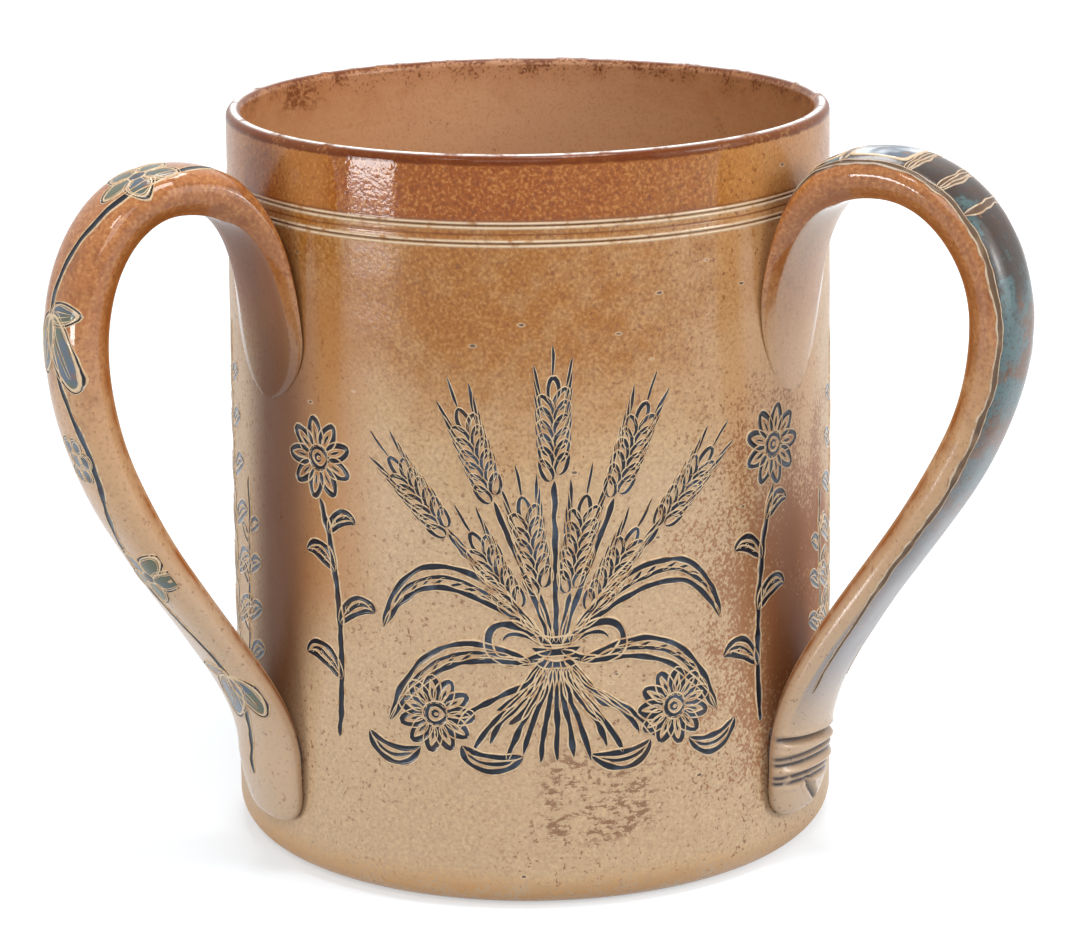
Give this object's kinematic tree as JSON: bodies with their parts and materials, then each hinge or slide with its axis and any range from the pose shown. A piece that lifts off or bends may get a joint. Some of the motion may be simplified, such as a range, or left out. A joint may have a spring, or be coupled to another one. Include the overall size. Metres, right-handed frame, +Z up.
{
  "type": "loving cup",
  "caption": "Straight-sided salt-glazed stoneware loving cup with pulled strap handles luted round the wall, turned rings below a rounded lip and a flat base.",
  "frame": {"origin": "centre of the flat base, on the axis of the cup", "axes": "+Z up along the axis of the cup, -Y towards the front between the two front handles, +X to the right seen from the front"},
  "size_m": [0.2016, 0.1855, 0.16],
  "materials": {
    "stoneware": "toasted salt glaze with a fine orange-peel skin",
    "slip": "fired clay slip under the salt glaze",
    "line_glaze": "dark blue-black glaze pooled in incised lines"
  },
  "bodies": {
    "root": {"cup_body": "stoneware", "left_handle": "stoneware", "left_upper_luting": "slip", "left_lower_luting": "slip", "right_handle": "stoneware", "right_upper_luting": "slip", "right_lower_luting": "slip", "rear_handle": "stoneware", "rear_upper_luting": "slip", "rear_lower_luting": "slip"}
  },
  "joints": []
}
